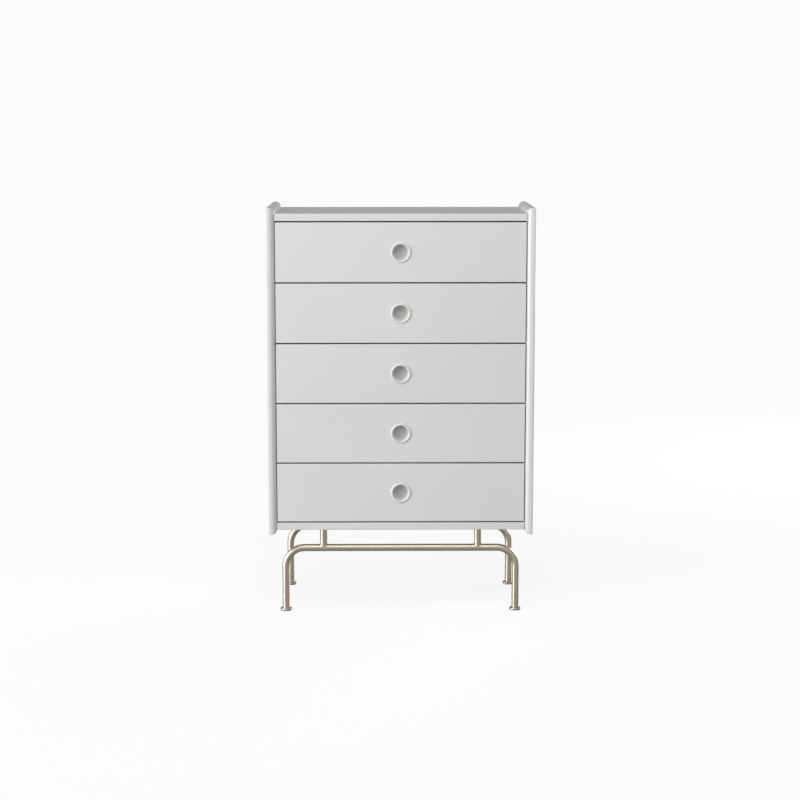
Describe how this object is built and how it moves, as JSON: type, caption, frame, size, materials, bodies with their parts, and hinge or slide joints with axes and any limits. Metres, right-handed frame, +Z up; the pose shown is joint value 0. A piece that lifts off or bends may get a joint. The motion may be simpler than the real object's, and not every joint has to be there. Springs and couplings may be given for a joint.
{
  "type": "tall chest of drawers",
  "caption": "Tall free-standing chest of drawers: white lacquered case and fronts with recessed round pulls, drawers on side slides, case raised on two bent metal leg frames.",
  "frame": {"origin": "point on the floor under the middle of the chest", "axes": "+Z up; -Y is the drawer front side, so drawers pull out along -Y; +X to the right when facing the fronts"},
  "size_m": [0.8, 0.4, 1.23],
  "materials": {
    "white_lacquer": "satin white lacquer on fibreboard",
    "white_hardboard": "white-faced hardboard",
    "birch_plywood": "clear-finished birch plywood",
    "satin_nickel": "satin nickel plated steel tube",
    "foot_metal": "satin nickel with a black pad",
    "zinc_steel": "bright zinc-plated sheet steel"
  },
  "bodies": {
    "carcass": {"left_side_panel": "white_lacquer", "right_side_panel": "white_lacquer", "top_panel": "white_lacquer", "bottom_panel": "white_lacquer", "back_panel": "white_hardboard", "front_leg_frame": "satin_nickel", "rear_leg_frame": "satin_nickel", "front_left_foot": "foot_metal", "front_right_foot": "foot_metal", "rear_left_foot": "foot_metal", "rear_right_foot": "foot_metal", "drawer_1_left_runner": "zinc_steel", "drawer_1_right_runner": "zinc_steel", "drawer_2_left_runner": "zinc_steel", "drawer_2_right_runner": "zinc_steel", "drawer_3_left_runner": "zinc_steel", "drawer_3_right_runner": "zinc_steel", "drawer_4_left_runner": "zinc_steel", "drawer_4_right_runner": "zinc_steel", "drawer_5_left_runner": "zinc_steel", "drawer_5_right_runner": "zinc_steel"},
    "drawer_1": {"drawer_1_front": "white_lacquer", "drawer_1_pull": "white_lacquer", "drawer_1_left_side": "birch_plywood", "drawer_1_right_side": "birch_plywood", "drawer_1_back": "birch_plywood", "drawer_1_bottom": "white_hardboard"},
    "drawer_2": {"drawer_2_front": "white_lacquer", "drawer_2_pull": "white_lacquer", "drawer_2_left_side": "birch_plywood", "drawer_2_right_side": "birch_plywood", "drawer_2_back": "birch_plywood", "drawer_2_bottom": "white_hardboard"},
    "drawer_3": {"drawer_3_front": "white_lacquer", "drawer_3_pull": "white_lacquer", "drawer_3_left_side": "birch_plywood", "drawer_3_right_side": "birch_plywood", "drawer_3_back": "birch_plywood", "drawer_3_bottom": "white_hardboard"},
    "drawer_4": {"drawer_4_front": "white_lacquer", "drawer_4_pull": "white_lacquer", "drawer_4_left_side": "birch_plywood", "drawer_4_right_side": "birch_plywood", "drawer_4_back": "birch_plywood", "drawer_4_bottom": "white_hardboard"},
    "drawer_5": {"drawer_5_front": "white_lacquer", "drawer_5_pull": "white_lacquer", "drawer_5_left_side": "birch_plywood", "drawer_5_right_side": "birch_plywood", "drawer_5_back": "birch_plywood", "drawer_5_bottom": "white_hardboard"}
  },
  "joints": [
    {"name": "drawer_1_slide", "type": "slide", "parent": "carcass", "child": "drawer_1", "axis": [0, -1, 0], "range_m": [0, 0.26]},
    {"name": "drawer_2_slide", "type": "slide", "parent": "carcass", "child": "drawer_2", "axis": [0, -1, 0], "range_m": [0, 0.26]},
    {"name": "drawer_3_slide", "type": "slide", "parent": "carcass", "child": "drawer_3", "axis": [0, -1, 0], "range_m": [0, 0.26]},
    {"name": "drawer_4_slide", "type": "slide", "parent": "carcass", "child": "drawer_4", "axis": [0, -1, 0], "range_m": [0, 0.26]},
    {"name": "drawer_5_slide", "type": "slide", "parent": "carcass", "child": "drawer_5", "axis": [0, -1, 0], "range_m": [0, 0.26]}
  ]
}
